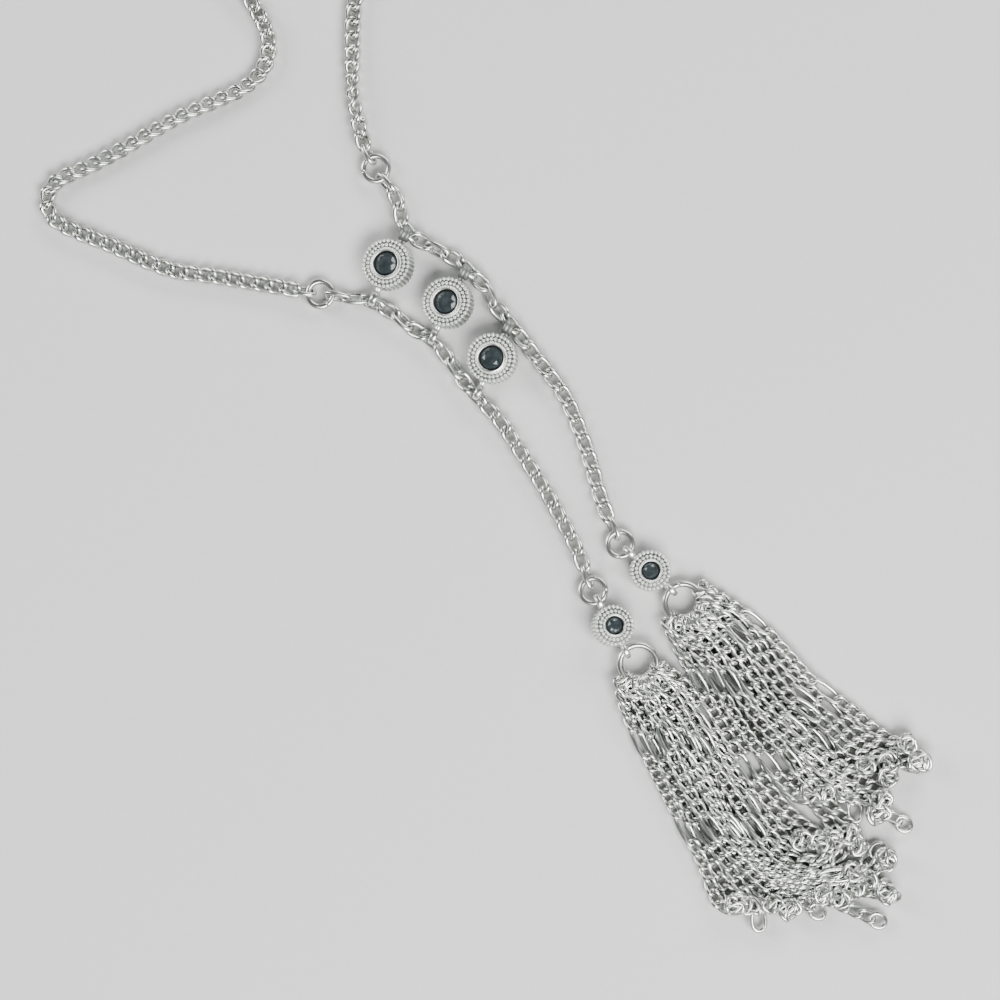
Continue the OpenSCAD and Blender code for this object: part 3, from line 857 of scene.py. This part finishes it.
def hook_link(centre, normal, hold, share, chance):
    """Place of the link by which a strand hooks over its ring, and the start of its line."""
    a = math.radians(hold[0] + share * (hold[1] - hold[0]))
    out = np.array((math.cos(a), math.sin(a), 0))
    out[2] = -(out @ normal) / normal[2]
    out = unit(out)
    side = unit(np.cross((0, 0, 1), out))
    leaning = side + np.array((0, 0, chance.choice((-1, 1)) * chance.uniform(0.2, 1.3)))
    aside = unit(out + side * chance.uniform(-0.3, 0.3))
    start = centre + out * (HOOK_AT + HOOK_END[0]) + aside * HOOK_END[1]
    return (centre + out * HOOK_AT, aside, leaning), start


def strand_line(start, rows, end, share, inner, layer, drift, chance):
    """The line of a strand over the rows of its tassel to its end. It sways, less so in the
    strands at the tassel's edges, and rises over its neighbours if its layer is a high one."""
    flat = [(1 - share) * np.array(left) + share * np.array(right) for left, right in rows]
    end, finish = np.array(end[:2]), end[2]
    while (end - flat[-1]) @ (flat[-1] - flat[-2]) < ROW_ROOM:
        flat.pop()
    flat.append(end - (HEAP_ROOM if finish != "ring" else 0) * unit(end - flat[-1]))
    last = len(flat)
    knots = [start]
    for i, (x, y) in enumerate(flat, 1):
        rise = math.sin(math.pi * min(i + 0.4, last - 0.2) / (last + 0.4))
        sway = 0
        if i < last:
            sway = inner * (0.5 * math.sin(drift + 1.7 * i) + chance.uniform(-0.2, 0.2))
        height = (STRAND_Z + LAYER_Z * layer * rise + chance.uniform(0, 0.2)
                  + 1.1 * layer * math.exp(-i))
        knots.append(np.array((x + sway, y + sway * 0.4, height)))
    knots.append(knots[-1] + RUN_ON * unit(knots[-1] - knots[-2]) * (1, 1, 0))
    return curve_through(knots)


def figaro(whole, number, chance):
    """Kind and pitch of each link over a whole length: a long one after every five short ones,
    counted from a number on."""
    links, used = [], 0
    while True:
        kind = "long" if number % 6 == 5 and used + 2 * LONG_PITCH < whole else "short"
        pitch = LONG_PITCH if kind == "long" else SHORT_PITCH
        if not links:
            pitch *= chance.uniform(0.5, 1)
        if used + pitch / 2 > whole:
            return links
        links.append((kind, pitch))
        used, number = used + pitch, number + 1


def between(joint, ahead, roll):
    """Place of a link between two joints, rolled by some degrees."""
    along = unit(ahead - joint)
    across = unit(np.cross((0, 0, 1), along))
    roll = math.radians(roll)
    up = math.cos(roll) * np.cross(along, across) + math.sin(roll) * across
    return (joint + ahead) / 2, along, up


def heap(joint, bearing, spin, links, chance):
    """Places of the links in the little heap where a strand ends."""
    places = []
    for m in range(links):
        bearing += spin * math.radians(chance.uniform(80, 125))
        rise = 0.55 if m % 2 else -0.1
        ahead = joint + HEAP_PITCH * unit(np.array((math.cos(bearing), math.sin(bearing), rise)))
        ahead[2] = min(max(ahead[2], HEAP_LEVELS[0]), HEAP_LEVELS[1])
        roll = (-1) ** m * HEAP_ROLL + chance.uniform(-15, 15)
        places.append(between(joint, ahead, roll))
        joint = ahead
    return places


def strand(centre, normal, shape, k, layer, chance):
    """Places of the links of a tassel's strand k, by their kind."""
    share = k / (STRANDS - 1)
    # The strands lie closer together in the middle
    share += 0.5 * math.sin(2 * math.pi * share) / (2 * math.pi)
    inner = min(1, 8 * min(share, 1 - share))
    found = {kind: [] for kind in TASSEL_LINKS}
    hook, start = hook_link(centre, normal, shape["hold"], share, chance)
    found["hook"].append(hook)
    drift = chance.uniform(0, 6.28)
    end = shape["ends"][k]
    line = strand_line(start, shape["rows"], end, share, inner, layer, drift, chance)
    whole = np.linalg.norm(np.diff(line, axis=0), axis=1).sum() - RUN_ON
    number = 1 + (chance.choice((0, 0, 1, -1, 2)) if inner == 1 else 0)
    links = figaro(whole, number, chance)
    slack = whole / sum(pitch for _, pitch in links)
    joint, i, used = line[0], 0, 0
    for kind, pitch in links:
        while i < len(line) - 1 and np.linalg.norm(line[i] - joint) < pitch * slack:
            i += 1
        ahead = joint + unit(line[i] - joint) * pitch * slack
        # The links are rolled most beside the ring, and lean to and fro further on
        roll = ((50 - 40 * layer) * math.exp(-used / 5) + 18 * math.sin(drift + used / 6)
                + chance.uniform(-11, 11))
        found[kind].append(between(joint, ahead, roll))
        along = unit(ahead - joint)
        joint, used = ahead, used + pitch
    finish = end[2]
    spin = chance.choice((-1, 1))
    if finish == "hang":
        down = np.array((0.1, -1, 0))
        found["hang"].append((joint + HANG_REACH * unit(down), down, (0.1, 0.1, 1)))
    elif finish == "ring":
        level = along * (1, 1, 0)
        found["ring"].append((joint + RING_REACH * unit(level), level, (0.1, 0.1, 1)))
    else:
        bearing = math.atan2(along[1], along[0]) - spin * math.radians(60)
        found["heap"] += heap(joint, bearing, spin, finish, chance)
    return found


for side, seed in (("left", 21), ("right", 22)):
    centre, normal = tassel_lie[side]
    chance = random.Random(seed)
    placed = {kind: [] for kind in TASSEL_LINKS}
    for k in range(STRANDS):
        # The outer strands lie on the table, and the inner ones in three layers
        layer = (0, 2, 1)[k % 3] if 1 < k < STRANDS - 2 else 0
        found = strand(centre, normal, TASSELS[side], k, layer, chance)
        for kind, places in found.items():
            placed[kind] += places
    meshes = [wire_links("tassel", placed[kind], size, steps=14)
              for kind, size in TASSEL_LINKS.items()]
    piece(f"tassel_{side}_strands", meshes, chain_silver, f"tassel_{side}")

# The clasp: a plain silver-tone spring ring behind the neck, with an eye, which joins the two
# runs of the neck chain. It has the shape of its CAD node.

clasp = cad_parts["clasp"]
clasp.data.materials.clear()
clasp.data.materials.append(ring_silver)
